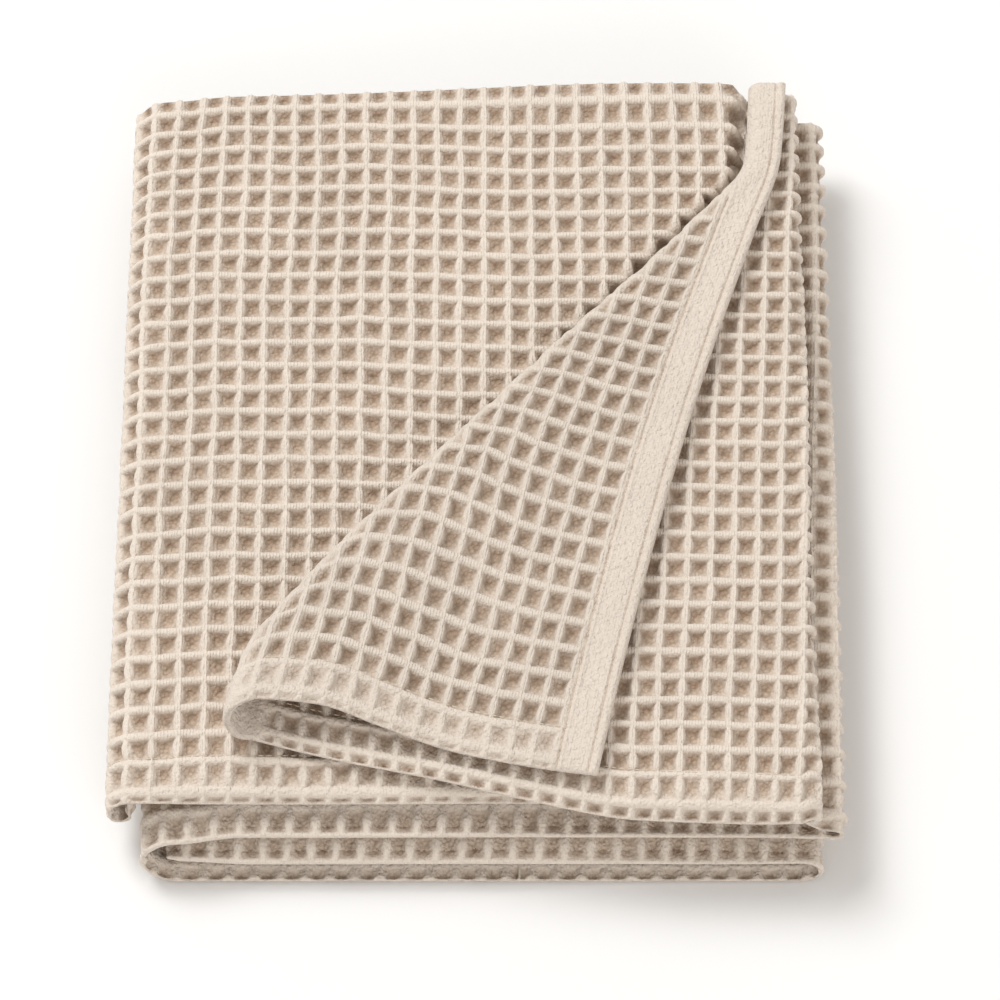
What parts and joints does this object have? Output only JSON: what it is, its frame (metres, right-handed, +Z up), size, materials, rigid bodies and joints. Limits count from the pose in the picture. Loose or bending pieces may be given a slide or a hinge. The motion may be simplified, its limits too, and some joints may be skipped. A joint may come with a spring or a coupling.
{
  "type": "waffle weave cotton blanket",
  "caption": "A waffle weave cotton blanket folded into a loose rectangular pile, its top corner turned back in a diagonal flap with a flat sewn hem.",
  "frame": {"origin": "the middle of the folded pile's footprint, on the surface that it lies on", "axes": "+X to the right of the pile as seen from its open front edges, where the side folds are; +Y to the back, along the side folds and the longer side; +Z up, through the layers"},
  "size_m": [0.3343, 0.3917, 0.0788],
  "materials": {
    "cotton": "natural unbleached cotton in a deep waffle weave, matte, with flat stitched hems"
  },
  "bodies": {
    "root": {"blanket": "cotton"}
  },
  "joints": []
}
